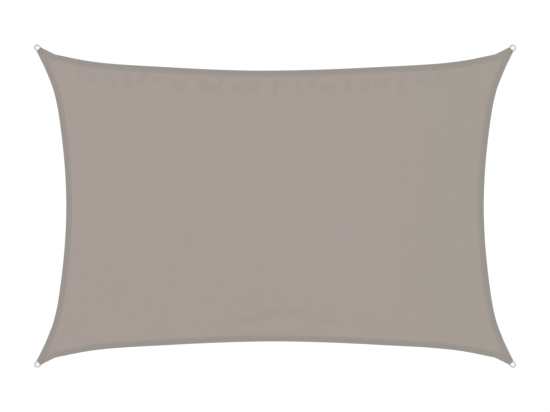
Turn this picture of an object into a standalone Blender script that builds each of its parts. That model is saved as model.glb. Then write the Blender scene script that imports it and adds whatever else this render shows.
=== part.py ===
"""Rectangular shade sail of knitted cloth with a steel D-ring at each tip, laid out flat.

Metres, +Z up. The origin is on the surface, under the middle of the sail, and +X runs along its length.
A tip has coordinates of its own: INWARD from the cloth's fold along the diagonal, and ACROSS it.
"""

import math

import bmesh
import bpy
from mathutils import Euler, Matrix, Vector
from mathutils.geometry import interpolate_bezier, intersect_line_line_2d

# Cloth
TIP_REACH = Vector((1.4707, 0.9764))  # from the middle of the sail to the fold at each tip
SHEET = 0.0015  # one layer of knitted cloth
HEM = 0.0028  # the edge turned over twice and sewn flat
GAP = 0.0003  # between the cloth and the wire that it holds

# Depth of an edge inside the line between its two tips, at distances from the edge's middle.
# The last row is the kink where the curve passes into the straight run to the tip.
EDGE_ROWS = {
    # (along, depth)
    "long": (
        (0.000, 0.1335),
        (0.350, 0.1260),
        (0.700, 0.1090),
        (1.000, 0.0915),
        (1.180, 0.0705),
        (1.370, 0.0325),
    ),
    "short": (
        (0.000, 0.1710),
        (0.200, 0.1645),
        (0.400, 0.1465),
        (0.600, 0.1190),
        (0.720, 0.0920),
        (0.800, 0.0625),
        (0.870, 0.0330),
    ),
}
# Each edge, anticlockwise: its rows, its outward side, the width of its hem, how far past its middle
# it is deepest, and how far across the tip it ends.
EDGES = {
    # name: (rows, outward, hem_width, deepest, shoulder)
    "front": ("long", Vector((0, -1)), 0.033, 0.00, 0.0190),
    "right": ("short", Vector((1, 0)), 0.035, 0.00, 0.0212),
    "back": ("long", Vector((0, 1)), 0.035, 0.08, 0.0190),
    "left": ("short", Vector((-1, 0)), 0.033, 0.00, 0.0212),
}
STEPS = 5  # points on an edge between two rows
SHOULDER_INWARD = 0.0074  # where the flat cloth ends, clear of the ring's bends

# D-ring, bent from round wire
WIRE = 0.0050
RING_WIDTH = 0.0375  # outside, across the arms
RING_DEPTH = 0.0398  # outside, from the straight bar to the top of the bow
RING_BEND = 0.0030  # centreline radius where the bar turns into an arm
BEND_STEPS = 4
BOW_STEPS = 20
FLOOR_CLEARANCE = 0.0001

# Loop of cloth at a tip, turned over the ring's bar and sewn down on the hems
LOOP_WALL = 0.0015
LOOP_WIDTH = 0.0260
LOOP_SLOPE_END = 0.0150  # inward, where the turned end comes down onto the hems
LOOP_END = 0.0300  # inward, where the turned end stops
LOOP_STEPS = 24  # facets in a full turn

TIPS = {
    # name: (side along X, side along Y)
    "front_left": (-1, -1),
    "front_right": (1, -1),
    "back_right": (1, 1),
    "back_left": (-1, 1),
}
BAR_RADIUS = WIRE / 2 + GAP  # of the tunnel round the bar
BAR_CENTRE = BAR_RADIUS + LOOP_WALL  # inward from the fold, and up from the surface


def new_collection(name):
    collection = bpy.data.collections.new(name)
    bpy.context.scene.collection.children.link(collection)
    return collection


def new_material(name, colour, roughness, metallic):
    material = bpy.data.materials.new(name)
    material.use_nodes = True
    shader = material.node_tree.nodes["Principled BSDF"]
    shader.inputs["Base Color"].default_value = (*colour, 1.0)
    shader.inputs["Roughness"].default_value = roughness
    shader.inputs["Metallic"].default_value = metallic
    return material


def arc(centre, radius, start, end, steps):
    """Points on a circular arc, both ends included, with the angles in degrees."""
    turns = [math.radians(start + (end - start) * i / steps) for i in range(steps + 1)]
    return [Vector((centre[0] + radius * math.cos(a), centre[1] + radius * math.sin(a))) for a in turns]


def closed_curve(name, outlines, collection):
    """A 2D curve with one closed line for each list of points."""
    curve = bpy.data.curves.new(name, "CURVE")
    curve.dimensions = "2D"
    for points in outlines:
        spline = curve.splines.new("POLY")
        spline.points.add(len(points) - 1)
        for spline_point, place in zip(spline.points, points):
            spline_point.co = (*place, 0.0, 1.0)
        spline.use_cyclic_u = True
        spline.use_smooth = True
    item = bpy.data.objects.new(name, curve)
    collection.objects.link(item)
    return item


def filled_solid(name, outlines, thickness, placement, collection):
    """A flat outline with its holes, given a thickness about its plane and made a mesh."""
    flat = closed_curve(name + "_outline", outlines, collection)
    flat.data.fill_mode = "BOTH"
    flat.data.extrude = thickness / 2
    flat.matrix_world = placement
    depsgraph = bpy.context.evaluated_depsgraph_get()
    mesh = bpy.data.meshes.new_from_object(flat.evaluated_get(depsgraph))
    weld(mesh)
    solid = bpy.data.objects.new(name, mesh)
    solid.matrix_world = placement
    collection.objects.link(solid)
    bpy.data.objects.remove(flat)
    return solid


def weld(mesh):
    """Joins the loose caps of a filled outline to its walls."""
    build = bmesh.new()
    build.from_mesh(mesh)
    bmesh.ops.remove_doubles(build, verts=build.verts, dist=0.00001)
    build.to_mesh(mesh)
    build.free()


def add_boolean(target, operation, tool):
    tool.hide_render = True
    tool.display_type = "WIRE"
    modifier = target.modifiers.new(tool.name, "BOOLEAN")
    modifier.operation = operation
    modifier.object = tool


def smooth_through(rows):
    """Points on a smooth line through the rows, level at the first of them."""
    knots = [Vector(row) for row in rows]
    middle_slopes = [(after - before).normalized() for before, after in zip(knots, knots[2:])]
    slopes = [Vector((1, 0)), *middle_slopes, (knots[-1] - knots[-2]).normalized()]
    points = []
    for start, end, leaving, arriving in zip(knots, knots[1:], slopes, slopes[1:]):
        handle = (end - start).length / 3
        points += interpolate_bezier(start, start + leaving * handle, end - arriving * handle, end, STEPS + 1)[:-1]
    return points + [knots[-1]]


def edge_line(name):
    """An edge of the cloth, anticlockwise from shoulder to shoulder."""
    rows, outward, _, deepest, shoulder = EDGES[name]
    along = Vector((-outward.y, outward.x))
    reach_along = abs(along.dot(TIP_REACH))
    reach_out = abs(outward.dot(TIP_REACH))
    shoulder_row = (
        reach_along - (SHOULDER_INWARD + shoulder) / math.sqrt(2),
        (SHOULDER_INWARD - shoulder) / math.sqrt(2),
    )
    half = smooth_through(EDGE_ROWS[rows])
    places = [(-distance, depth) for distance, depth in reversed(half)] + [tuple(p) for p in half[1:]]
    # the middle of the edge slides towards its deepest place, and the kinks stay
    kink = half[-1].x
    places = [(distance + deepest * (1 - abs(distance) / kink) ** 2, depth) for distance, depth in places]
    places = [(-shoulder_row[0], shoulder_row[1]), *places, shoulder_row]
    return [along * distance + outward * (reach_out - depth) for distance, depth in places]


def moved_in(line, distance):
    """An anticlockwise line, moved to its inner side."""
    moved = []
    for before, point, after in zip(line[:1] + line, line, line[1:] + line[-1:]):
        heading = (after - before).normalized()
        moved.append(point + Vector((-heading.y, heading.x)) * distance)
    return moved


def hem_fold_line(edges):
    """The inner fold of the hems, whose straight runs meet near each tip."""
    moved = [moved_in(edges[name], EDGES[name][2]) for name in EDGES]
    outline = []
    for line, following in zip(moved, moved[1:] + moved[:1]):
        corner = intersect_line_line_2d(line[-2], line[-1], following[0], following[1])
        outline += line[1:-1] + [corner]
    return outline


def tip_frame(tip):
    """Place and turn of a tip: its X runs inward along the diagonal, its Y across, its Z up."""
    side_x, side_y = TIPS[tip]
    turn = math.atan2(-side_y, -side_x)
    return Matrix.Translation((side_x * TIP_REACH.x, side_y * TIP_REACH.y, 0)) @ Matrix.Rotation(turn, 4, "Z")


def tip_loop(tip, collection):
    """The cloth round the ring's bar: its section lies in the tip's upright plane."""
    centre = (BAR_CENTRE, BAR_CENTRE)
    outer = arc(centre, BAR_CENTRE, 90, 270, LOOP_STEPS // 2)
    flap_top = HEM + LOOP_WALL
    section = [
        *outer,
        Vector((LOOP_END, 0)),
        Vector((LOOP_END, flap_top)),
        Vector((LOOP_SLOPE_END, flap_top)),
    ]
    tunnel_radius = BAR_RADIUS / math.cos(math.pi / LOOP_STEPS)
    tunnel = arc(centre, tunnel_radius, 0, 360, LOOP_STEPS)[:-1]
    placement = tip_frame(tip) @ Matrix.Rotation(math.pi / 2, 4, "X")
    return filled_solid("loop_" + tip, [section, tunnel], LOOP_WIDTH, placement, collection)


def sail_cloth(parts, tools, cloth):
    """The sheet: full hem thickness, hollowed to one layer inside the hems, with a loop at each tip."""
    edges = {name: edge_line(name) for name in EDGES}
    outline = [point for name in EDGES for point in edges[name]]
    sail = filled_solid("sail_cloth", [outline], HEM, Matrix.Translation((0, 0, HEM / 2)), parts)
    recess_placement = Matrix.Translation((0, 0, SHEET + HEM / 2))
    recess = filled_solid("inside_hems", [hem_fold_line(edges)], HEM, recess_placement, tools)
    add_boolean(sail, "DIFFERENCE", recess)
    for tip in TIPS:
        add_boolean(sail, "UNION", tip_loop(tip, tools))
    sail.data.materials.append(cloth)
    return sail


def ring_centreline():
    """The D, with its bar on the Y axis and its bow towards -X."""
    half_width = (RING_WIDTH - WIRE) / 2
    bar_end = half_width - RING_BEND
    bow_centre = half_width - (RING_DEPTH - WIRE)
    return [
        *arc((-RING_BEND, -bar_end), RING_BEND, -90, 0, BEND_STEPS),
        *arc((-RING_BEND, bar_end), RING_BEND, 0, 90, BEND_STEPS),
        *arc((bow_centre, 0), half_width, 90, 270, BOW_STEPS),
    ]


def d_ring(tip, parts, steel):
    """A ring with its bar in the loop and its bow tipped down onto the surface."""
    ring = closed_curve("d_ring_" + tip, [ring_centreline()], parts)
    ring.data.dimensions = "3D"
    ring.data.bevel_depth = WIRE / 2
    ring.data.bevel_resolution = 4
    drop = BAR_CENTRE - WIRE / 2 - FLOOR_CLEARANCE
    tilt = math.asin(drop / (RING_DEPTH - WIRE))
    bar = Matrix.Translation((BAR_CENTRE, 0, BAR_CENTRE))
    ring.matrix_world = tip_frame(tip) @ bar @ Euler((0, -tilt, 0)).to_matrix().to_4x4()
    ring.data.materials.append(steel)
    return ring


def main():
    for item in list(bpy.data.objects):
        bpy.data.objects.remove(item)
    parts = new_collection("shade_sail")
    tools = new_collection("cutters_and_joiners")
    cloth = new_material("knitted_cloth", (0.39, 0.34, 0.31), 0.85, 0.0)
    steel = new_material("polished_steel", (0.62, 0.61, 0.60), 0.22, 1.0)
    sail_cloth(parts, tools, cloth)
    for tip in TIPS:
        d_ring(tip, parts, steel)


main()
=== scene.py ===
"""A 3 by 2 m shade sail, laid flat: knitted cloth with turned hems, its sewing, and a D-ring at each tip.

Metres, +Z up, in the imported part's frame. A tip has coordinates of its own: INWARD from the cloth's fold
along the diagonal, and ACROSS it. An edge is followed anticlockwise, and DEPTH into the cloth is measured
square to it.
"""

import bisect
import math

import bmesh
import bpy
from bpy.props import FloatProperty, FloatVectorProperty, PointerProperty
from mathutils import Matrix, Vector, noise
from mathutils.geometry import interpolate_bezier


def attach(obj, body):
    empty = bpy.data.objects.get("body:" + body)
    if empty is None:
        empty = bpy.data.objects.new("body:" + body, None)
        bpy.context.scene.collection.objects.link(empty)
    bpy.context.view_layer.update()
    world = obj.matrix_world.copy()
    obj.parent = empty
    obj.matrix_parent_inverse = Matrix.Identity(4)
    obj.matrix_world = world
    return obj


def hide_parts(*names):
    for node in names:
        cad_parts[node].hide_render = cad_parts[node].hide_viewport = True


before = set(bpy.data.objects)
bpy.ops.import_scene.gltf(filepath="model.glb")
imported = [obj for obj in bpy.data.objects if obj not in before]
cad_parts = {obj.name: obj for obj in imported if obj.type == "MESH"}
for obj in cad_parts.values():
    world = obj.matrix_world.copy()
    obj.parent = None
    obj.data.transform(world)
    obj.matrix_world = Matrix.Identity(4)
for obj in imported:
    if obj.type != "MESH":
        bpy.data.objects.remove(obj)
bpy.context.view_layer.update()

bl_info = {
    "name": "Shade Sail",
    "version": (1, 0, 0),
    "blender": (4, 5, 0),
    "location": "View3D > Sidebar > Shade Sail",
    "description": "Builds the cloth, sewing and D-rings of a shade sail that lies flat",
    "category": "Add Mesh",
}

BODY = "root"
MM = 0.001

# Outline
TIP_REACH = Vector((1.4707, 0.9764))  # from the middle of the sail to the fold at each tip
TIP_END = 0.0074  # inward, where the hems end beside the ring's bar
EDGE_ROWS = {
    # name: (distance from the edge's middle, depth inside the line between the tips)
    "long": (
        (0.000, 0.1335),
        (0.350, 0.1260),
        (0.700, 0.1090),
        (1.000, 0.0915),
        (1.180, 0.0705),
        (1.370, 0.0325),
    ),
    "short": (
        (0.000, 0.1710),
        (0.200, 0.1645),
        (0.400, 0.1465),
        (0.600, 0.1190),
        (0.720, 0.0920),
        (0.800, 0.0625),
        (0.870, 0.0330),
    ),
}
EDGES = {
    # name: (rows, outward, hem_width, how far past its middle it is deepest, end across the tip)
    "front": ("long", Vector((0, -1)), 0.033, 0.00, 0.0190),
    "right": ("short", Vector((1, 0)), 0.035, 0.00, 0.0212),
    "back": ("long", Vector((0, 1)), 0.035, 0.08, 0.0190),
    "left": ("short", Vector((-1, 0)), 0.033, 0.00, 0.0212),
}
TIPS = {
    # name: (side along X, side along Y). Each edge runs from the tip in its own row to the next.
    "front_left": (-1, -1),
    "front_right": (1, -1),
    "back_right": (1, 1),
    "back_left": (-1, 1),
}
EDGE_NAMES = list(EDGES)
TIP_NAMES = list(TIPS)
CURVE_STEPS = 5  # points on an edge between two rows

# Hem: the edge turned over twice, with its raw end tucked in
HEM_TUCK = 0.0060  # depth at which the tucked layer ends
FOLD_INSET = 1.5  # layers from an edge to the middle of its fold
LAYER_PITCH = 1.04  # layers between the middles of two that lie on each other
MITRE_GAP = 0.00002  # each side of the diagonal where two hems meet
OUTER_STEPS, INNER_STEPS = 4, 3  # round the outer and the inner fold of a hem
HEM_TOP_ROWS = (
    # (share of the hem's width, rise above the flat layer in mm)
    (0.12, 0.20),
    (0.25, 0.35),
    (0.40, 0.35),
    (0.55, 0.25),
    (0.65, 0.10),
    (0.71, -0.05),
    (0.79, 0.10),
    (0.87, -0.05),
    (0.92, 0.00),
)
OUTER_SEAM, INNER_SEAM = 0.71, 0.87  # shares of the hem's width
HEM_TONES = {
    # edge: (share of the hem's width where its darker tone starts to fade, how far past the hem it ends)
    # Past the hem the darker tone is painted shade beside the hem's step; on the back and left it ends
    # sooner, where the lamp's own shadow of the step falls
    "front": (0.60, 0.0090),
    "right": (0.60, 0.0090),
    "back": (0.60, 0.0020),
    "left": (0.60, 0.0020),
}
TIP_TONE = (0.020, 0.130)  # distances from the fold between which a tip's darker tone fades
TIP_LIGHTENING = 0.25  # share of that tone that a tip loses: partly painted light over the shade where two hems meet and under the ring's bend, partly a lighter tone of the cloth near the tips
TIP_LIGHTENING_ENDS = (0.090, 0.160)  # distances from the fold between which that loss ends
OLIVE_SIDE = (0.70, 1.00)  # along +X, where the dye drifts to its greener side
PAINTED_PUCKER_SHADE = 110.0  # painted shade along the puckers and the waves that carry it: share of the hem's tone for each metre of their height, standing in for the shading of their relief

# Turned-over end at each tip
BAR_GAP = 0.0003
TONGUE_WALL = 0.0015
TONGUE_LEAVES = 68  # degrees round the bar, where the cloth leaves it on its way down
TONGUE_UNDER = ((0.0130, 0.0012), (0.0085, 0.0009))  # (inward, height), inside the hems
TONGUE_OVER = (
    # (inward, height, half_width)
    (0.0152, 0.00370, 0.0129),
    (0.0172, 0.00315, 0.0128),
    (0.0196, 0.00330, 0.0127),
    (0.0226, 0.00340, 0.0126),
    (0.0256, 0.00330, 0.0125),
    (0.0280, 0.00310, 0.0124),
    (0.0296, 0.00270, 0.0122),
    (0.0300, 0.00225, 0.0121),
)
TONGUE_TURN_STEPS = 12  # round the bar
TONGUE_ACROSS = 14
TONGUE_SAG = 0.0004  # of its sides, where they are sewn down
SAG_SIDES = (0.75, 1.0)  # shares of its half width between which it sags
SAG_STARTS = (0.010, 0.016)  # inward
TONGUE_TONE = 0.55  # of the hem's tone: the turned-over ends are drawn lighter than the hems, painted light that offsets the shade of the box sewn on them
TABS = (
    # (inward, how far inside the edge), where the cloth beside the turned-over end lies under the ring
    (0.0073, 0.0000),
    (0.0050, 0.0002),
    (0.0028, 0.0006),
    (0.0014, 0.0014),
    (0.0009, 0.0024),
)
TAB_INSIDE = 0.0133  # across, the tabs' inner edges
TAB_ACROSS = 4
BOX_SEAM = (0.0170, 0.0285, 0.0108)  # inward from, inward to, half width of the sewn box
BOX_SEAM_ROW = 3  # of TONGUE_OVER, whose height the box has
SEAM_STOPS = (0.001, 0.002)  # how far past a turned-over end, inward and across, the hems' seams stop

# Soft relief of the cloth where it lies, as seen
PUCKERS = (
    # (distance from the middle along +X, half width, where it starts and ends in from the back edge,
    # lean along +X for each metre inward, height in mm)
    (-1.227, 0.032, 0.050, 0.095, 0.1, 1.4),
    (-1.140, 0.048, 0.075, 0.110, -0.2, 2.0),
    (-1.071, 0.032, 0.060, 0.085, 0.3, 1.9),
    (-1.010, 0.044, 0.080, 0.120, 0.0, 1.9),
    (-0.930, 0.040, 0.060, 0.125, 0.2, 2.2),
    (-0.811, 0.038, 0.045, 0.095, -0.5, 2.8),
    (-0.735, 0.060, 0.070, 0.085, 0.0, 2.0),
    (-0.640, 0.036, 0.075, 0.115, 0.2, 2.2),
    (-0.571, 0.036, 0.095, 0.130, -0.3, 2.2),
    (-0.461, 0.046, 0.055, 0.130, 0.1, 2.6),
    (-0.400, 0.034, 0.100, 0.125, 0.2, 1.8),
    (-0.336, 0.042, 0.055, 0.110, -0.6, 2.8),
    (-0.252, 0.050, 0.105, 0.130, 0.4, 3.1),
    (-0.190, 0.030, 0.080, 0.100, 0.0, 1.9),
    (-0.131, 0.048, 0.075, 0.115, 0.0, 2.3),
    (0.006, 0.042, 0.060, 0.140, -0.2, 3.1),
    (0.060, 0.030, 0.090, 0.110, 0.5, 1.6),
    (0.137, 0.036, 0.080, 0.130, 0.1, 2.6),
    (0.228, 0.042, 0.060, 0.095, -0.3, 3.0),
    (0.310, 0.064, 0.095, 0.120, 0.3, 2.7),
    (0.439, 0.044, 0.060, 0.115, 0.1, 3.0),
    (0.558, 0.052, 0.080, 0.130, -0.2, 2.4),
    (0.665, 0.070, 0.085, 0.105, 0.0, 2.2),
    (0.786, 0.040, 0.075, 0.145, -0.1, 2.6),
    (0.903, 0.056, 0.070, 0.105, 0.3, 1.9),
    (1.032, 0.048, 0.055, 0.095, -0.4, 2.2),
    (1.125, 0.070, 0.080, 0.110, 0.1, 1.8),
    (1.248, 0.040, 0.060, 0.095, -0.2, 1.8),
)
PUCKER_FADE = 0.034  # over which a pucker grows and fades at its ends
WAVES = (
    # (middle along +X, half its length, how far in from the front edge, half width, height in mm,
    # whether painted shade darkens the cloth along it)
    (-0.275, 0.100, 0.120, 0.032, 2.2, True),
    (-0.160, 0.100, 0.137, 0.034, 2.4, True),
    (-0.055, 0.120, 0.178, 0.046, 2.7, True),
    (0.100, 0.100, 0.184, 0.042, 2.6, True),
    (0.320, 0.110, 0.132, 0.032, 2.2, True),
    (0.545, 0.060, 0.190, 0.032, 1.8, True),
    (0.580, 0.120, 0.127, 0.034, 2.2, True),
    (-0.170, 0.100, 0.070, 0.036, 2.4, False),
    (0.040, 0.110, 0.084, 0.040, 2.4, False),
    (0.140, 0.065, 0.082, 0.056, 3.0, False),
    (0.395, 0.200, 0.055, 0.032, 2.4, False),
)
TIP_FOLDS = (
    # (degrees from the diagonal, how wide in degrees, height in mm)
    (-9.0, 5.0, 0.9),
    (1.5, 4.0, 0.7),
    (10.0, 5.5, 0.8),
)
TIP_FOLD_REACH = (0.060, 0.150, 0.520)  # inward from the tip: starts, is highest, is gone
SWELL_CELL = Vector((0.62, 0.46))  # size of the broad, low rises
SWELL_SLICE = 0.37  # height in the noise that they follow
LIE_FLAT = (0.040, 0.200)  # depth from the edges over which the rises begin

# Meshes
GRID_LONG, GRID_SHORT = 340, 92  # cells of the sheet along its long and short edges
ROW_CROWDING = 0.45  # how much closer the rows lie towards the long edges
SHEET_SMOOTHINGS = 24
WIRE_SIDES = 24
BOW_STEPS, BEND_STEPS, STRAIGHT_STEPS = 36, 8, 3
WELD = 0.000001
FLOOR_CLEARANCE = 0.0001  # under the rings' bows
STITCH_SHOWS = 0.86  # share of a stitch that lies on top, between its two holes
STITCH_FLAT = 0.8  # height of a stitch for its width
STITCH_STANDS = 0.1  # of the thread, the height of its middle over the cloth

# Patterns: cells to a metre, along the cloth and across it where there are two
STREAK_CELLS = (7.0, 90.0, 1.0)  # 143 by 11 mm
LOOP_CELLS = (110.0, 330.0, 1.0)  # 9 by 3 mm
PATCH_CELLS = 22.0  # 45 mm
SLOW_CELLS = 2.4  # 417 mm
THREAD_CELLS = 30.0  # 33 mm
SMEAR_CELLS = 120.0  # 8 mm
MARK_CELLS = 420.0  # 2.4 mm
WAVE_TURN = 20  # radians that a wave texture turns in a metre for each unit of its scale

# Tone of the knit: the brightness that each pattern adds to the cloth's colour where it is lightest
BASE_TONE = (0.9298, 0.9598)  # at the darkest and the lightest of the slow changes
PATCH_TONE, STREAK_TONE, RIB_TONE, LOOP_TONE = 0.045, 0.022, 0.004, 0.050
WIDTH_TONE = 0.007  # for each metre towards the back edge
RIB_RELIEF, LOOP_RELIEF = 0.35, 1.2  # for the streaks' relief of 1
KNIT_RELIEF, MARK_RELIEF = 0.0006, 0.0002  # heights of the knit and of the marks on the steel
KNIT_ROUGHNESS = (0.72, 0.86)
THREAD_ROUGHNESS, THREAD_TONES = 0.6, (0.90, 1.10)
SMEAR_ROUGHNESS, SMEAR_TONES = (0.6, 1.5), (0.94, 1.05)  # shares of the steel's own
MIX_SHARE, MIX_FIRST, MIX_SECOND, MIX_RESULT = 0, 6, 7, 2  # a Mix node's sockets for colours

# Stage
LAMP_TURN = math.radians(-45)  # about the upright, from the left
LAMP_SPREAD = math.radians(50)
BACKDROP = 0.99  # brightness of what shows past the floor
FLOOR_HALF = 60.0
FLOOR_DROP = 0.00005  # of the floor below the cloth's underside


def to_linear(code):
    """An sRGB hex colour as linear red, green and blue."""
    channels = [int(code[i:i + 2], 16) / 255 for i in (0, 2, 4)]
    return [c / 12.92 if c <= 0.04045 else ((c + 0.055) / 1.055) ** 2.4 for c in channels]


class ClothSettings(bpy.types.PropertyGroup):
    layer: FloatProperty(
        name="Layer", description="Thickness of one layer of the cloth",
        default=0.00066, min=0.0003, unit="LENGTH",
    )
    swell: FloatProperty(
        name="Swell", description="Height of the broad, low rises where the cloth lies",
        default=0.0014, min=0.0, unit="LENGTH",
    )
    wale: FloatProperty(
        name="Wale", description="Spacing of the knit's ribs as drawn",
        default=0.0120, min=0.001, unit="LENGTH",
    )
    open_colour: FloatVectorProperty(
        name="Single layer", description="Colour of one layer, lightened by what shows through its holes",
        subtype="COLOR", size=3, min=0.0, max=1.0, default=to_linear("9E938D"),
    )
    olive_colour: FloatVectorProperty(
        name="Single layer, olive side",
        description="Colour of one layer on the side where the dye is greener",
        subtype="COLOR", size=3, min=0.0, max=1.0, default=to_linear("9C948B"),
    )
    backed_colour: FloatVectorProperty(
        name="Hem", description="Colour of the hem, whose three layers let nothing through",
        subtype="COLOR", size=3, min=0.0, max=1.0, default=to_linear("908B84"),
    )


class SewingSettings(bpy.types.PropertyGroup):
    stitch: FloatProperty(
        name="Stitch", description="Length of one stitch from hole to hole",
        default=0.0050, min=0.001, unit="LENGTH",
    )
    tip_stitch: FloatProperty(
        name="Tip stitch", description="Length of a stitch at the tips, where the sewing is closer",
        default=0.0030, min=0.001, unit="LENGTH",
    )
    thread: FloatProperty(
        name="Thread", description="Thickness of the sewing thread",
        default=0.0007, min=0.0001, unit="LENGTH",
    )
    # lighter than the hem's cloth: painted light that offsets the shade the stitches cast between them
    colour: FloatVectorProperty(
        name="Thread colour", description="Colour of the sewing thread",
        subtype="COLOR", size=3, min=0.0, max=1.0, default=to_linear("A09994"),
    )


class RingSettings(bpy.types.PropertyGroup):
    wire: FloatProperty(
        name="Wire", description="Thickness of the ring's wire",
        default=0.0050, min=0.001, unit="LENGTH",
    )
    width: FloatProperty(
        name="Width", description="Outside width of the ring across its arms",
        default=0.0375, min=0.01, unit="LENGTH",
    )
    depth: FloatProperty(
        name="Depth", description="Outside depth of the ring from its bar to its bow",
        default=0.0398, min=0.01, unit="LENGTH",
    )
    bend: FloatProperty(
        name="Bend", description="Radius of the wire's middle where the bar turns into an arm",
        default=0.0030, min=0.001, unit="LENGTH",
    )
    roughness: FloatProperty(
        name="Roughness", description="Roughness of the polished steel",
        default=0.2, min=0.0, max=1.0,
    )
    colour: FloatVectorProperty(
        name="Steel", description="Colour of the polished steel",
        subtype="COLOR", size=3, min=0.0, max=1.0, default=to_linear("C3C4C6"),
    )


class StageSettings(bpy.types.PropertyGroup):
    view_width: FloatProperty(
        name="View width", description="Width of floor that the camera sees",
        default=3.4249, min=0.1, unit="LENGTH",
    )
    camera_height: FloatProperty(
        name="Camera height", description="Height of the camera above the floor",
        default=8.0, min=0.5, unit="LENGTH",
    )
    floor_tone: FloatProperty(
        name="Floor", description="How much light the floor sends back",
        default=0.98, min=0.0, max=1.0,
    )
    horizon: FloatProperty(
        name="Horizon", description="Brightness of the even light from the sides",
        default=1.12, min=0.0,
    )
    zenith: FloatProperty(
        name="Zenith", description="Brightness of the even light from above",
        default=0.73, min=0.0,
    )
    lamp: FloatProperty(
        name="Lamp", description="Strength of the soft light from the left and back",
        default=1.05, min=0.0,
    )
    lamp_tilt: FloatProperty(
        name="Lamp tilt", description="Angle of the soft light from straight above",
        default=math.radians(45), subtype="ANGLE",
    )


class ShadeSailSettings(bpy.types.PropertyGroup):
    cloth: PointerProperty(type=ClothSettings)
    sewing: PointerProperty(type=SewingSettings)
    ring: PointerProperty(type=RingSettings)
    stage: PointerProperty(type=StageSettings)


# Lines in the plan of the sail


def smooth_through(rows):
    """Points on a smooth line through the rows, level at the first of them."""
    knots = [Vector(row) for row in rows]
    middle_slopes = [(after - before).normalized() for before, after in zip(knots, knots[2:])]
    slopes = [Vector((1, 0)), *middle_slopes, (knots[-1] - knots[-2]).normalized()]
    points = []
    for start, end, leaving, arriving in zip(knots, knots[1:], slopes, slopes[1:]):
        handle = (end - start).length / 3
        reach = (start, start + leaving * handle, end - arriving * handle, end)
        points += interpolate_bezier(*reach, CURVE_STEPS + 1)[:-1]
    return points + [knots[-1]]


def edge_places(name):
    """An edge as (distance along it from its middle, depth) from one end to the other."""
    rows, outward, _, deepest, end_across = EDGES[name]
    along = Vector((-outward.y, outward.x))
    end = (
        abs(along.dot(TIP_REACH)) - (TIP_END + end_across) / math.sqrt(2),
        (TIP_END - end_across) / math.sqrt(2),
    )
    half = smooth_through(EDGE_ROWS[rows])
    places = [(-distance, depth) for distance, depth in reversed(half)] + [tuple(p) for p in half[1:]]
    kink = half[-1].x
    places = [(distance + deepest * (1 - abs(distance) / kink) ** 2, depth) for distance, depth in places]
    return [(-end[0], end[1]), *places, end]


def edge_line(name):
    """An edge of the cloth in plan, anticlockwise."""
    outward = EDGES[name][1]
    along = Vector((-outward.y, outward.x))
    reach_out = abs(outward.dot(TIP_REACH))
    return [along * distance + outward * (reach_out - depth) for distance, depth in edge_places(name)]


def moved_in(line, distance):
    """An anticlockwise line, moved to its inner side."""
    moved = []
    for before, point, after in zip(line[:1] + line, line, line[1:] + line[-1:]):
        heading = (after - before).normalized()
        moved.append(point + Vector((-heading.y, heading.x)) * distance)
    return moved


def tip_axes(tip):
    """The fold's middle at a tip, and the directions inward and across."""
    side_x, side_y = TIPS[tip]
    inward = Vector((-side_x, -side_y)).normalized()
    return Vector((side_x * TIP_REACH.x, side_y * TIP_REACH.y)), inward, Vector((-inward.y, inward.x))


def in_tip(tip, point):
    corner, inward, across = tip_axes(tip)
    return Vector(((point - corner).dot(inward), (point - corner).dot(across)))


def from_tip(tip, inward_distance, across_distance):
    corner, inward, across = tip_axes(tip)
    return corner + inward * inward_distance + across * across_distance


def edge_across(tip, outer, inner, inward):
    """How far across a tip the straight run through two places is, at a distance inward."""
    first, second = in_tip(tip, outer), in_tip(tip, inner)
    return first.y + (second.y - first.y) * (inward - first.x) / (second.x - first.x)


def run_end(tip, outer, inner):
    """Where an edge's straight run stops: at the tip's end, or at the diagonal if that comes first."""
    across = edge_across(tip, outer, inner, TIP_END)
    first, second = in_tip(tip, outer), in_tip(tip, inner)
    if across * second.y > 0:
        return from_tip(tip, TIP_END, across)
    side = math.copysign(MITRE_GAP, second.y)
    share = (side - first.y) / (second.y - first.y)
    return from_tip(tip, first.x + (second.x - first.x) * share, side)


def deep_line(name, depth):
    """The line at a depth from an edge, with both its ends cut."""
    line = moved_in(edge_line(name), depth)
    index = EDGE_NAMES.index(name)
    line[0] = run_end(TIP_NAMES[index], line[0], line[1])
    line[-1] = run_end(TIP_NAMES[(index + 1) % len(TIP_NAMES)], line[-1], line[-2])
    return line


def spaced(line, shares):
    """The points at these shares of a line's length, with the headings there."""
    lengths = [0.0]
    for start, end in zip(line, line[1:]):
        lengths.append(lengths[-1] + (end - start).length)
    points, index = [], 0
    for share in shares:
        wanted = lengths[-1] * share
        while index < len(line) - 2 and lengths[index + 1] < wanted:
            index += 1
        rest = (wanted - lengths[index]) / (lengths[index + 1] - lengths[index])
        heading = (line[index + 1] - line[index]).normalized()
        points.append((line[index].lerp(line[index + 1], rest), heading))
    return points


def even_shares(count):
    return [step / count for step in range(count + 1)]


def cell_shares(name, cells):
    """Shares along an edge of the sheet's vertices."""
    crowding = 0.0 if EDGES[name][0] == "long" else ROW_CROWDING
    turn = 2 * math.pi
    return [share - crowding * math.sin(turn * share) / turn for share in even_shares(cells)]


def line_length(line):
    return sum((end - start).length for start, end in zip(line, line[1:]))


def outline_area():
    outline = [point for name in EDGE_NAMES for point in edge_line(name)]
    return sum(a.x * b.y - b.x * a.y for a, b in zip(outline, outline[1:] + outline[:1])) / 2


# Height of the lying cloth


def smooth_step(value, low, high):
    share = min(max((value - low) / (high - low), 0.0), 1.0)
    return share * share * (3 - 2 * share)


def hump(distance, half_width):
    """1 at the middle, 0 from half_width on, with no corner."""
    return 1 - smooth_step(abs(distance), 0.0, half_width)


EDGE_TABLES = {name: edge_places(name) for name in EDGES}


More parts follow.
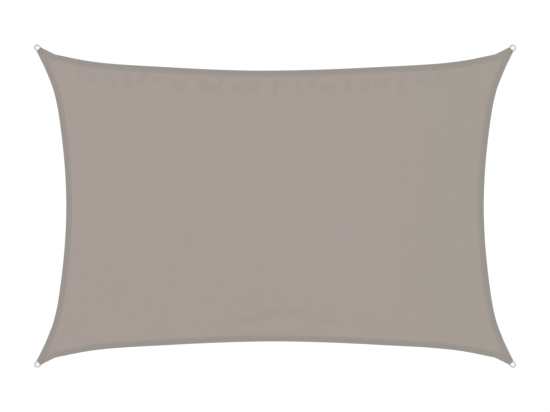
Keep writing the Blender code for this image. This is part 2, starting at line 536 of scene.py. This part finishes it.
def edge_depth(name, place):
    """Depth of a place inside an edge, square to it."""
    outward = EDGES[name][1]
    distance = place.dot(Vector((-outward.y, outward.x)))
    table = EDGE_TABLES[name]
    index = min(max(bisect.bisect(table, (distance,)) - 1, 0), len(table) - 2)
    (start, start_depth), (end, end_depth) = table[index], table[index + 1]
    slope = (end_depth - start_depth) / (end - start)
    line_depth = start_depth + slope * (distance - start)
    return (abs(outward.dot(TIP_REACH)) - line_depth - place.dot(outward)) / math.hypot(1, slope)


def hem_backing_and_painted_shade(place):
    """How dark the cloth's tone is drawn, from 0 on the single sheet to 1 on its hems and tips, whose
    layers let none of the floor show through. Past the hems it runs on as painted shade beside their step,
    painted shade stands in for the shading of the puckers and of the waves that carry it, and near the tips
    it is lightened, partly as painted light over the shade where two hems meet."""
    to_tip = min(in_tip(tip, place).length for tip in TIPS)
    single = smooth_step(to_tip, *TIP_TONE)
    # painted shade along the puckers and the waves that carry it, standing in for the shading of their
    # relief
    single *= 1 - (puckers(place) + waves(place, True)) * PAINTED_PUCKER_SHADE
    # past each hem the darker tone runs on as painted shade beside its step
    for name, (_, _, hem_width, _, _) in EDGES.items():
        fades, gone = HEM_TONES[name]
        single *= smooth_step(edge_depth(name, place), hem_width * fades, hem_width + gone)
    # lighter near the tips: partly painted light over the shade where two hems meet
    return (1 - single) * (1 - TIP_LIGHTENING * (1 - smooth_step(to_tip, *TIP_LIGHTENING_ENDS)))


def puckers(place):
    """Height of the short puckers that the back hem's sewing draws into the cloth."""
    depth, rise = edge_depth("back", place), 0.0
    for middle, width, start, end, lean, height in PUCKERS:
        off = place.x - middle - lean * (depth - start)
        if abs(off) < width and start - PUCKER_FADE < depth < end + PUCKER_FADE:
            grows = smooth_step(depth, start - PUCKER_FADE, start)
            stays = 1 - smooth_step(depth, end, end + PUCKER_FADE)
            rise += height * MM * hump(off, width) * grows * stays
    return rise


def waves(place, painted_shade):
    """Height of the low ridges along the front hem, of those that carry painted shade or of those that
    don't.
    """
    depth = edge_depth("front", place)
    return sum(
        height * MM * hump(place.x - middle, reach) * hump(depth - ridge, width)
        for middle, reach, ridge, width, height, has_painted_shade in WAVES
        if has_painted_shade == painted_shade
    )


def lift(place, swell):
    """How far the cloth stands off the floor at a place in plan."""
    depths = {name: edge_depth(name, place) for name in EDGES}
    cell = Vector((place.x / SWELL_CELL.x, place.y / SWELL_CELL.y, SWELL_SLICE))
    rise = swell * (0.5 + 0.5 * noise.noise(cell)) * smooth_step(min(depths.values()), *LIE_FLAT)
    rise += puckers(place) + waves(place, True) + waves(place, False)
    corner = min(TIPS, key=lambda tip: in_tip(tip, place).length)
    inward, across = in_tip(corner, place)
    distance = math.hypot(inward, across)
    starts, highest, gone = TIP_FOLD_REACH
    if distance < gone:
        angle = math.degrees(math.atan2(across, inward))
        run = smooth_step(distance, starts, highest) * (1 - smooth_step(distance, highest, gone))
        for middle, width, height in TIP_FOLDS:
            rise += height * MM * hump(angle - middle, width) * run
    return rise


# Materials


def new_material(name):
    material = bpy.data.materials.new(name)
    material.use_nodes = True
    return material, material.node_tree, material.node_tree.nodes["Principled BSDF"]


def add_node(tree, kind, inputs, **settings):
    """A node with its settings, whose inputs take values or the outputs of other nodes."""
    node = tree.nodes.new("ShaderNode" + kind)
    for key, value in settings.items():
        setattr(node, key, value)
    for key, value in inputs.items():
        if isinstance(value, bpy.types.NodeSocket):
            tree.links.new(value, node.inputs[key])
        else:
            node.inputs[key].default_value = value
    return node


def knitted_hdpe(settings):
    """Knitted HDPE shade cloth: matt tape and round yarn in one taupe, which reads as an even, dull
    surface with faint ribs along the roll and slow changes of tone. The real ribs are 3 mm apart, too
    fine to show here, so they are drawn several times as coarse and very weak. The loops of tape between
    them are drawn as a fine, uneven grain, as high as the real ones and longer."""
    material, tree, shader = new_material("knitted_hdpe")
    place = add_node(tree, "UVMap", {}, uv_map="cloth").outputs["UV"]
    along = add_node(tree, "Mapping", {"Vector": place, "Scale": STREAK_CELLS}).outputs["Vector"]
    streaks = add_node(tree, "TexNoise", {"Vector": along, "Scale": 1.0, "Detail": 2.0}).outputs["Fac"]
    tape = add_node(tree, "Mapping", {"Vector": place, "Scale": LOOP_CELLS}).outputs["Vector"]
    loops = add_node(tree, "TexNoise", {"Vector": tape, "Scale": 1.0, "Detail": 1.0}).outputs["Fac"]
    wave_scale = 2 * math.pi / WAVE_TURN / settings.wale
    ribs = add_node(
        tree, "TexWave",
        {"Vector": place, "Scale": wave_scale, "Distortion": 0.6, "Detail": 1.0, "Detail Scale": 0.4},
        bands_direction="Y",
    ).outputs["Fac"]
    patches = add_node(
        tree, "TexNoise", {"Vector": place, "Scale": PATCH_CELLS, "Detail": 2.0}
    ).outputs["Fac"]
    slow = add_node(tree, "TexNoise", {"Vector": place, "Scale": SLOW_CELLS, "Detail": 3.0}).outputs["Fac"]
    split = add_node(tree, "SeparateXYZ", {"Vector": place}).outputs
    tone = add_node(
        tree, "MapRange", {"Value": slow, "To Min": BASE_TONE[0], "To Max": BASE_TONE[1]}
    ).outputs["Result"]
    for pattern, share in (
        (patches, PATCH_TONE),
        (streaks, STREAK_TONE),
        (ribs, RIB_TONE),
        (split["Y"], WIDTH_TONE),
        (loops, LOOP_TONE),
    ):
        tone = add_node(
            tree, "Math", {0: pattern, 1: share, 2: tone}, operation="MULTIPLY_ADD"
        ).outputs["Value"]
    colour = (*settings.open_colour, 1.0)
    olive = add_node(
        tree, "MapRange",
        {"Value": split["X"], "From Min": OLIVE_SIDE[0], "From Max": OLIVE_SIDE[1]},
        interpolation_type="SMOOTHSTEP",
    ).outputs["Result"]
    # the hems' and tips' tone, which also carries painted shade beside the hems and along the puckers, and
    # painted light near the tips
    backing_and_painted_shade = add_node(tree, "Attribute", {}, attribute_name="backing_and_painted_shade").outputs["Fac"]
    for share, other in ((olive, settings.olive_colour), (backing_and_painted_shade, settings.backed_colour)):
        colour = add_node(
            tree, "Mix",
            {MIX_SHARE: share, MIX_FIRST: colour, MIX_SECOND: (*other, 1.0)},
            data_type="RGBA",
        ).outputs[MIX_RESULT]
    colour = add_node(tree, "HueSaturation", {"Color": colour, "Value": tone}).outputs["Color"]
    tree.links.new(colour, shader.inputs["Base Color"])
    relief = streaks
    for pattern, share in ((ribs, RIB_RELIEF), (loops, LOOP_RELIEF)):
        relief = add_node(
            tree, "Math", {0: pattern, 1: share, 2: relief}, operation="MULTIPLY_ADD"
        ).outputs["Value"]
    bump = add_node(tree, "Bump", {"Height": relief, "Strength": 0.5, "Distance": KNIT_RELIEF})
    tree.links.new(bump.outputs["Normal"], shader.inputs["Normal"])
    rough = add_node(
        tree, "MapRange", {"Value": streaks, "To Min": KNIT_ROUGHNESS[0], "To Max": KNIT_ROUGHNESS[1]}
    ).outputs["Result"]
    tree.links.new(rough, shader.inputs["Roughness"])
    return material


def bonded_thread(settings):
    """Bonded polyester sewing thread: tightly twisted, a little smoother than the cloth and a shade lighter
    than the hem, painted light that offsets the shade between its stitches, so that the seams read as fine
    dotted lines."""
    material, tree, shader = new_material("bonded_polyester_thread")
    place = add_node(tree, "TexCoord", {}).outputs["Object"]
    dye = add_node(tree, "TexNoise", {"Vector": place, "Scale": THREAD_CELLS, "Detail": 1.0}).outputs["Fac"]
    tone = add_node(
        tree, "MapRange", {"Value": dye, "To Min": THREAD_TONES[0], "To Max": THREAD_TONES[1]}
    ).outputs["Result"]
    colour = add_node(
        tree, "HueSaturation", {"Color": (*settings.colour, 1.0), "Value": tone}
    ).outputs["Color"]
    tree.links.new(colour, shader.inputs["Base Color"])
    shader.inputs["Roughness"].default_value = THREAD_ROUGHNESS
    return material


def polished_stainless(settings):
    """Polished stainless steel wire: bright and neutral, with faint bending marks and handling smears
    that soften what it mirrors."""
    material, tree, shader = new_material("polished_stainless_steel")
    place = add_node(tree, "TexCoord", {}).outputs["Object"]
    smears = add_node(
        tree, "TexNoise", {"Vector": place, "Scale": SMEAR_CELLS, "Detail": 3.0}
    ).outputs["Fac"]
    least, most = (settings.roughness * share for share in SMEAR_ROUGHNESS)
    rough = add_node(tree, "MapRange", {"Value": smears, "To Min": least, "To Max": most}).outputs["Result"]
    tree.links.new(rough, shader.inputs["Roughness"])
    tone = add_node(
        tree, "MapRange", {"Value": smears, "To Min": SMEAR_TONES[0], "To Max": SMEAR_TONES[1]}
    ).outputs["Result"]
    colour = add_node(
        tree, "HueSaturation", {"Color": (*settings.colour, 1.0), "Value": tone}
    ).outputs["Color"]
    tree.links.new(colour, shader.inputs["Base Color"])
    marks = add_node(tree, "TexNoise", {"Vector": place, "Scale": MARK_CELLS, "Detail": 2.0}).outputs["Fac"]
    bump = add_node(tree, "Bump", {"Height": marks, "Strength": 0.3, "Distance": MARK_RELIEF})
    tree.links.new(bump.outputs["Normal"], shader.inputs["Normal"])
    shader.inputs["Metallic"].default_value = 1.0
    return material


def matt_floor(settings):
    """Matt white paper roll: an even, pale ground without grain."""
    material, tree, shader = new_material("matt_paper_floor")
    shader.inputs["Base Color"].default_value = (*[settings.floor_tone] * 3, 1.0)
    shader.inputs["Roughness"].default_value = 1.0
    shader.inputs["Specular IOR Level"].default_value = 0.0
    return material


# Meshes


def finished(build, name, material):
    """The mesh as a smooth object of its own."""
    for face in build.faces:
        face.smooth = True
    mesh = bpy.data.meshes.new(name)
    build.to_mesh(mesh)
    build.free()
    mesh.materials.append(material)
    item = bpy.data.objects.new(name, mesh)
    bpy.context.scene.collection.objects.link(item)
    return item


def next_row(build, row):
    """A copy of a row of vertices, joined to it by faces."""
    edges = [edge for a, b in zip(row, row[1:]) for edge in a.link_edges if edge.other_vert(a) is b]
    made = bmesh.ops.extrude_edge_only(build, edges=edges)["geom"]
    new = {item for item in made if isinstance(item, bmesh.types.BMVert)}
    return [next(e.other_vert(v) for e in v.link_edges if e.other_vert(v) in new) for v in row]


def sheet_sides(depth):
    """The four sides of the sheet in plan, from the middle of one tip's end to that of the next."""
    sides = {}
    for index, name in enumerate(EDGE_NAMES):
        cells = GRID_LONG if EDGES[name][0] == "long" else GRID_SHORT
        middles = [from_tip(TIP_NAMES[(index + i) % len(TIP_NAMES)], TIP_END, 0.0) for i in (0, 1)]
        body = [point for point, _ in spaced(deep_line(name, depth), cell_shares(name, cells - 2))]
        sides[name] = [middles[0], *body, middles[1]]
    return sides


def patch_point(sides, column, row):
    """A point of the patch that spans the four sides."""
    front, right = sides["front"], sides["right"]
    back, left = sides["back"][::-1], sides["left"][::-1]
    u, v = column / GRID_LONG, cell_shares("left", GRID_SHORT)[row]
    across = front[column].lerp(back[column], v) + left[row].lerp(right[row], u)
    return across - front[0].lerp(front[-1], u).lerp(back[0].lerp(back[-1], u), v)


def hem_profile(hem_width, layer):
    """The turned hem as (depth, height of the layer's middle), from under the edge to the tucked end."""
    outer_middle = layer * FOLD_INSET
    pitch = layer * LAYER_PITCH
    top = layer / 2 + pitch * 2
    inner_middle = hem_width - pitch / 2 - layer / 2
    profile = []
    for step in range(1, OUTER_STEPS + 1):
        turn = math.pi * step / OUTER_STEPS - math.pi / 2
        profile.append((outer_middle - pitch * math.cos(turn), layer / 2 + pitch * (1 + math.sin(turn))))
    profile += [(hem_width * share, top + rise * MM) for share, rise in HEM_TOP_ROWS]
    for step in range(INNER_STEPS + 1):
        turn = math.pi / 2 - math.pi * step / INNER_STEPS
        profile.append(
            (inner_middle + pitch / 2 * math.cos(turn), layer / 2 + pitch * (1.5 + math.sin(turn) / 2))
        )
    return profile + [(HEM_TUCK, layer / 2 + pitch)]


def hem_top(layer, share):
    """Height of the hem's upper face at a share of its width where it has a row."""
    rise = dict(HEM_TOP_ROWS)[share]
    return layer * (1 + 2 * LAYER_PITCH) + rise * MM


def hem_allowance(name, layer):
    """Width of cloth that an edge's hem takes past its fold."""
    inset = layer * FOLD_INSET
    profile = [Vector((inset, layer / 2)), *map(Vector, hem_profile(EDGES[name][2], layer))]
    return line_length(profile) - inset


def turn_hem(build, name, row, settings, layers):
    """Turns a hem over twice from its edge of the sheet."""
    backing_and_painted_shade, flat = layers
    before, length = Vector((settings.layer * FOLD_INSET, settings.layer / 2)), 0.0
    starts = [vertex.co.xy.copy() for vertex in row]
    shares = cell_shares(name, len(row) - 1)
    for depth, height in hem_profile(EDGES[name][2], settings.layer):
        length += (Vector((depth, height)) - before).length
        before = Vector((depth, height))
        row = next_row(build, row)
        for vertex, start, (place, heading) in zip(row, starts, spaced(deep_line(name, depth), shares)):
            vertex.co = (*place, height + lift(place, settings.swell))
            vertex[backing_and_painted_shade] = hem_backing_and_painted_shade(place)
            vertex[flat] = (*(start + Vector((heading.y, -heading.x)) * length), 0.0)


def sail_sheet(settings):
    """The cloth in one sheet: the panel, and the hems turned over from its four edges."""
    build = bmesh.new()
    backing_and_painted_shade = build.verts.layers.float.new("backing_and_painted_shade")
    flat = build.verts.layers.float_vector.new("flat")
    bmesh.ops.create_grid(build, x_segments=GRID_LONG, y_segments=GRID_SHORT, size=1.0)
    cells = {}
    for vertex in build.verts:
        column = round((vertex.co.x + 1) / 2 * GRID_LONG)
        row = round((vertex.co.y + 1) / 2 * GRID_SHORT)
        cells[column, row] = vertex
    sides = sheet_sides(settings.layer * FOLD_INSET)
    for (column, row), vertex in cells.items():
        vertex.co = (*patch_point(sides, column, row), 0.0)
    inside = [v for (column, row), v in cells.items() if 0 < column < GRID_LONG and 0 < row < GRID_SHORT]
    for _ in range(SHEET_SMOOTHINGS):
        bmesh.ops.smooth_vert(build, verts=inside, factor=0.5, use_axis_x=True, use_axis_y=True)
    for vertex in build.verts:
        vertex[flat] = vertex.co
        vertex[backing_and_painted_shade] = hem_backing_and_painted_shade(vertex.co.xy)
        vertex.co.z = settings.layer / 2 + lift(vertex.co.xy, settings.swell)
    rows = {
        "front": [cells[column, 0] for column in range(1, GRID_LONG)],
        "right": [cells[GRID_LONG, row] for row in range(1, GRID_SHORT)],
        "back": [cells[column, GRID_SHORT] for column in range(GRID_LONG - 1, 0, -1)],
        "left": [cells[0, row] for row in range(GRID_SHORT - 1, 0, -1)],
    }
    for name, row in rows.items():
        turn_hem(build, name, row, settings, (backing_and_painted_shade, flat))
    bmesh.ops.recalc_face_normals(build, faces=build.faces)
    for edge in build.edges:
        edge.smooth = not edge.is_boundary  # so that the hems' cut ends aren't shaded as if they were round
    lay_pattern(build, flat)
    return build


def lay_pattern(build, flat):
    """The map that the knit follows: where each point lay in the cloth before it was sewn, in metres."""
    cloth = build.loops.layers.uv.new("cloth")
    for face in build.faces:
        for loop in face.loops:
            loop[cloth].uv = loop.vert[flat].xy


def tongue_path(ring):
    """The turned-over end as (inward, height, half_width), under the bar, round it and down on the hems."""
    wall_middle = ring.wire / 2 + BAR_GAP + TONGUE_WALL / 2
    centre = ring.wire / 2 + BAR_GAP + TONGUE_WALL
    half_width = TONGUE_OVER[0][2]
    path = [(inward, height, half_width) for inward, height in TONGUE_UNDER]
    for share in even_shares(TONGUE_TURN_STEPS):
        turn = math.radians(270 + (TONGUE_LEAVES - 270) * share)
        inward, height = centre + wall_middle * math.cos(turn), centre + wall_middle * math.sin(turn)
        path.append((inward, height, half_width))
    return path + list(TONGUE_OVER)


def sweep(build, rows, layers, tone):
    """A strip through rows of (place, where it lay in the flat cloth), started from a line of edges."""
    backing_and_painted_shade, flat = layers
    line = [build.verts.new() for _ in rows[0]]
    for pair in zip(line, line[1:]):
        build.edges.new(pair)
    for index, row in enumerate(rows):
        if index:
            line = next_row(build, line)
        for vertex, (place, unfolded) in zip(line, row):
            vertex.co = place
            vertex[backing_and_painted_shade] = tone
            vertex[flat] = (*unfolded, 0.0)


def tongue_rows(tip, ring):
    """Rows of a turned-over end. Its sides sag a little where it is sewn down."""
    rows, length, before = [], 0.0, None
    for inward, height, half_width in tongue_path(ring):
        if before is not None:
            length += (Vector((inward, height)) - before).length
        before = Vector((inward, height))
        row = []
        for share in even_shares(TONGUE_ACROSS):
            side = 2 * share - 1
            sag = TONGUE_SAG * smooth_step(abs(side), *SAG_SIDES) * smooth_step(inward, *SAG_STARTS)
            place = (*from_tip(tip, inward, side * half_width), height - sag)
            row.append((place, from_tip(tip, -length, side * half_width)))
        rows.append(row)
    return rows


def tab_rows(tip, outer, inner):
    """Rows of the cloth between a turned-over end and an edge of the sail, flat under the ring's bend."""
    rows = []
    for inward, inset in TABS:
        across = edge_across(tip, outer, inner, inward)
        far = math.copysign(abs(across) - inset, across)
        near = math.copysign(TAB_INSIDE, across)
        places = [from_tip(tip, inward, near + (far - near) * share) for share in even_shares(TAB_ACROSS)]
        rows.append([((*place, TONGUE_WALL / 2), place) for place in places])
    return rows


def tip_turnovers(ring):
    """At each tip, the end turned over the bar and the tab beside it on either side."""
    build = bmesh.new()
    backing_and_painted_shade = build.verts.layers.float.new("backing_and_painted_shade")
    flat = build.verts.layers.float_vector.new("flat")
    for index, tip in enumerate(TIP_NAMES):
        leaving, arriving = edge_line(EDGE_NAMES[index]), edge_line(EDGE_NAMES[index - 1])
        # the turned-over ends carry painted light, lighter than the hems, over the shade of their sewn box
        sweep(build, tongue_rows(tip, ring), (backing_and_painted_shade, flat), TONGUE_TONE)
        # the tabs are drawn lighter than the hems: painted light over the shade under the ring's bend
        sweep(build, tab_rows(tip, leaving[0], leaving[1]), (backing_and_painted_shade, flat), 1 - TIP_LIGHTENING)
        sweep(build, tab_rows(tip, arriving[-1], arriving[-2]), (backing_and_painted_shade, flat), 1 - TIP_LIGHTENING)
    bmesh.ops.recalc_face_normals(build, faces=build.faces)
    lay_pattern(build, flat)
    return build


def stitch_shape(thread):
    """One stitch lying along X: a grain of thread that dips into the cloth at both ends."""
    build = bmesh.new()
    bmesh.ops.create_uvsphere(build, u_segments=6, v_segments=5, radius=0.5)
    bmesh.ops.rotate(build, matrix=Matrix.Rotation(math.pi / 2, 3, "Y"), verts=build.verts)
    bmesh.ops.scale(build, vec=(1.0, thread, thread * STITCH_FLAT), verts=build.verts)
    mesh = bpy.data.meshes.new("stitch")
    build.to_mesh(mesh)
    build.free()
    return mesh


def seam_places(line, pitch):
    """Middles and headings of the stitches along a line in plan."""
    count = max(1, round(line_length(line) / pitch))
    return spaced(line, even_shares(count * 2))[1::2]


def under_tongue(place):
    """Whether a place lies under the end that is turned over at the nearest tip."""
    inward, across = min((in_tip(tip, place) for tip in TIPS), key=lambda found: found.length)
    past_inward, past_across = SEAM_STOPS
    return inward < TONGUE_OVER[-1][0] + past_inward and abs(across) < TONGUE_OVER[0][2] + past_across


def sew(build, grain, places, pitch, height):
    """Lays a copy of the stitch at each place."""
    stretch = Matrix.Diagonal((pitch * STITCH_SHOWS, 1, 1, 1))
    for place, heading in places:
        turn = Matrix.Rotation(math.atan2(heading.y, heading.x), 4, "Z")
        stitch = grain.copy()
        stitch.transform(Matrix.Translation((*place, height(place))) @ turn @ stretch)
        build.from_mesh(stitch)
        bpy.data.meshes.remove(stitch)


def hem_seam(settings, cloth, share):
    """One row of stitches along all four hems."""
    build = bmesh.new()
    grain = stitch_shape(settings.thread)
    for name in EDGE_NAMES:
        line = deep_line(name, EDGES[name][2] * share)
        places = [found for found in seam_places(line, settings.stitch) if not under_tongue(found[0])]
        top = hem_top(cloth.layer, share) + settings.thread * STITCH_STANDS
        sew(build, grain, places, settings.stitch, lambda place: top + lift(place, cloth.swell))
    bpy.data.meshes.remove(grain)
    return build


def tip_seams(settings):
    """A crossed box of stitches on each turned-over end."""
    build = bmesh.new()
    grain = stitch_shape(settings.thread)
    start, end, half_width = BOX_SEAM
    corners = [(start, -half_width), (start, half_width), (end, half_width), (end, -half_width)]
    lines = [(a, b) for a, b in zip(corners, corners[1:] + corners[:1])]
    lines += [(corners[0], corners[2]), (corners[1], corners[3])]
    over = TONGUE_OVER[BOX_SEAM_ROW][1] + TONGUE_WALL / 2
    for tip in TIPS:
        for line in lines:
            places = seam_places([from_tip(tip, *place) for place in line], settings.tip_stitch)
            sew(build, grain, places, settings.tip_stitch, lambda _: over)
    bpy.data.meshes.remove(grain)
    return build


def ring_shape(settings):
    """A D of round wire with the middle of its bar at the origin, lying in the XY plane, bow towards -X."""
    build = bmesh.new()
    half_width = (settings.width - settings.wire) / 2
    bar_half = half_width - settings.bend
    bow_centre = half_width - (settings.depth - settings.wire)
    arm = -bow_centre - settings.bend
    made = bmesh.ops.create_circle(build, segments=WIRE_SIDES, radius=settings.wire / 2)["verts"]
    bmesh.ops.rotate(build, matrix=Matrix.Rotation(math.pi / 2, 3, "X"), verts=made)
    section = list(build.edges)

    def extruded(section, run):
        for _ in range(STRAIGHT_STEPS):
            made = bmesh.ops.extrude_edge_only(build, edges=section)["geom"]
            section = [item for item in made if isinstance(item, bmesh.types.BMEdge)]
            fresh = {vertex for edge in section for vertex in edge.verts}
            bmesh.ops.translate(build, vec=Vector(run) / STRAIGHT_STEPS, verts=list(fresh))
        return section

    def spun(section, centre, angle, steps):
        made = bmesh.ops.spin(
            build, geom=section, cent=centre, axis=(0, 0, 1), angle=angle, steps=steps, use_merge=False
        )["geom_last"]
        return [item for item in made if isinstance(item, bmesh.types.BMEdge)]

    section = extruded(section, (0, bar_half, 0))
    section = spun(section, (-settings.bend, bar_half, 0), math.pi / 2, BEND_STEPS)
    section = extruded(section, (-arm, 0, 0))
    section = spun(section, (bow_centre, 0, 0), math.pi, BOW_STEPS)
    section = extruded(section, (arm, 0, 0))
    section = spun(section, (-settings.bend, -bar_half, 0), math.pi / 2, BEND_STEPS)
    extruded(section, (0, bar_half, 0))
    bmesh.ops.remove_doubles(build, verts=build.verts, dist=WELD)
    bmesh.ops.recalc_face_normals(build, faces=build.faces)
    return build


def ring_place(tip, settings):
    """Where a ring lies: its bar in the fold, its bow tipped down onto the floor."""
    corner, inward, _ = tip_axes(tip)
    centre = settings.wire / 2 + BAR_GAP + TONGUE_WALL
    drop = centre - settings.wire / 2 - FLOOR_CLEARANCE
    tilt = math.asin(drop / (settings.depth - settings.wire))
    turn = Matrix.Rotation(math.atan2(inward.y, inward.x), 4, "Z")
    bar = Matrix.Translation((centre, 0, centre))
    return Matrix.Translation((*corner, 0)) @ turn @ bar @ Matrix.Rotation(-tilt, 4, "Y")


# Operators


class SHADE_SAIL_OT_cloth(bpy.types.Operator):
    """Builds the sheet with its hems, and the ends turned over the rings' bars"""

    bl_idname = "shade_sail.cloth"
    bl_label = "Cloth"

    def execute(self, context):
        settings = context.scene.shade_sail
        cloth = settings.cloth
        material = knitted_hdpe(cloth)
        sail = finished(sail_sheet(cloth), "sail", material)
        tongues = finished(tip_turnovers(settings.ring), "tip_turnovers", material)
        for item, thickness in ((sail, cloth.layer), (tongues, TONGUE_WALL)):
            wall = item.modifiers.new("wall", "SOLIDIFY")
            wall.thickness = thickness
            wall.offset = 0.0
            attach(item, BODY)
        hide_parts("sail_cloth")
        allowance = hem_allowance("back", cloth.layer)
        perimeter = sum(line_length(edge_line(name)) for name in EDGE_NAMES)
        outline_area() + perimeter * allowance
        return {"FINISHED"}


class SHADE_SAIL_OT_sewing(bpy.types.Operator):
    """Sews the hems with two rows of stitches, and the tips"""

    bl_idname = "shade_sail.sewing"
    bl_label = "Sewing"

    def execute(self, context):
        settings = context.scene.shade_sail
        thread = bonded_thread(settings.sewing)
        seams = {
            "hem_seam_outer": hem_seam(settings.sewing, settings.cloth, OUTER_SEAM),
            "hem_seam_inner": hem_seam(settings.sewing, settings.cloth, INNER_SEAM),
            "tip_seams": tip_seams(settings.sewing),
        }
        for name, build in seams.items():
            seam = finished(build, name, thread)
            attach(seam, BODY)
        return {"FINISHED"}


class SHADE_SAIL_OT_rings(bpy.types.Operator):
    """Bends the four D-rings from round wire, each in its tip"""

    bl_idname = "shade_sail.rings"
    bl_label = "D-rings"

    def execute(self, context):
        settings = context.scene.shade_sail.ring
        steel = polished_stainless(settings)
        for tip in TIPS:
            build = ring_shape(settings)
            bmesh.ops.transform(build, matrix=ring_place(tip, settings), verts=build.verts)
            ring = finished(build, "ring_" + tip, steel)
            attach(ring, BODY)
            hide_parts("d_ring_" + tip)
        return {"FINISHED"}


class SHADE_SAIL_OT_stage(bpy.types.Operator):
    """Lays the pale floor and sets the soft light and the camera straight above"""

    bl_idname = "shade_sail.stage"
    bl_label = "Stage"

    def execute(self, context):
        settings = context.scene.shade_sail.stage
        build = bmesh.new()
        bmesh.ops.create_grid(build, x_segments=1, y_segments=1, size=FLOOR_HALF)
        bmesh.ops.translate(build, vec=(0, 0, -FLOOR_DROP), verts=build.verts)
        floor = finished(build, "floor", matt_floor(settings))
        self.light(context, settings)
        self.camera(context, settings)
        return {"FINISHED"}

    def light(self, context, settings):
        sun = bpy.data.lights.new("soft_lamp", "SUN")
        sun.energy = settings.lamp
        sun.angle = LAMP_SPREAD
        lamp = bpy.data.objects.new("soft_lamp", sun)
        lamp.rotation_euler = (0.0, -settings.lamp_tilt, LAMP_TURN)
        lamp.visible_glossy = False
        context.scene.collection.objects.link(lamp)
        world = bpy.data.worlds.new("studio")
        world.use_nodes = True
        tree = world.node_tree
        tree.nodes.clear()
        seen = add_node(tree, "Background", {"Color": (1, 1, 1, 1), "Strength": BACKDROP})
        toward = add_node(tree, "TexCoord", {}).outputs["Generated"]
        height = add_node(tree, "SeparateXYZ", {"Vector": toward}).outputs["Z"]
        glow = add_node(
            tree, "MapRange", {"Value": height, "To Min": settings.horizon, "To Max": settings.zenith}
        ).outputs["Result"]
        even = add_node(tree, "Background", {"Color": (1, 1, 1, 1), "Strength": glow})
        ray = add_node(tree, "LightPath", {})
        both = add_node(
            tree, "MixShader",
            {0: ray.outputs["Is Camera Ray"], 1: even.outputs["Background"], 2: seen.outputs["Background"]},
        )
        add_node(tree, "OutputWorld", {"Surface": both.outputs["Shader"]})
        context.scene.world = world
        context.scene.view_settings.view_transform = "Standard"

    def camera(self, context, settings):
        lens = bpy.data.cameras.new("camera")
        lens.lens = lens.sensor_width * settings.camera_height / settings.view_width
        camera = bpy.data.objects.new("camera", lens)
        camera.location = (0.0, 0.0, settings.camera_height)
        context.scene.collection.objects.link(camera)
        context.scene.camera = camera


class SHADE_SAIL_PT_panel(bpy.types.Panel):
    """Lists the pieces of the sail and their sizes"""

    bl_label = "Shade Sail"
    bl_idname = "SHADE_SAIL_PT_panel"
    bl_space_type = "VIEW_3D"
    bl_region_type = "UI"
    bl_category = "Shade Sail"

    def draw(self, context):
        settings = context.scene.shade_sail
        groups = (
            (SHADE_SAIL_OT_cloth, settings.cloth),
            (SHADE_SAIL_OT_sewing, settings.sewing),
            (SHADE_SAIL_OT_rings, settings.ring),
            (SHADE_SAIL_OT_stage, settings.stage),
        )
        for operator, group in groups:
            box = self.layout.box()
            box.operator(operator.bl_idname)
            for name in group.__annotations__:
                box.prop(group, name)


CLASSES = (
    ClothSettings,
    SewingSettings,
    RingSettings,
    StageSettings,
    ShadeSailSettings,
    SHADE_SAIL_OT_cloth,
    SHADE_SAIL_OT_sewing,
    SHADE_SAIL_OT_rings,
    SHADE_SAIL_OT_stage,
    SHADE_SAIL_PT_panel,
)


def register():
    for item in CLASSES:
        bpy.utils.register_class(item)
    bpy.types.Scene.shade_sail = PointerProperty(type=ShadeSailSettings)


def unregister():
    del bpy.types.Scene.shade_sail
    for item in reversed(CLASSES):
        bpy.utils.unregister_class(item)


def main():
    register()
    bpy.ops.shade_sail.stage()
    bpy.ops.shade_sail.cloth()
    bpy.ops.shade_sail.sewing()
    bpy.ops.shade_sail.rings()


if __name__ == "__main__":
    main()
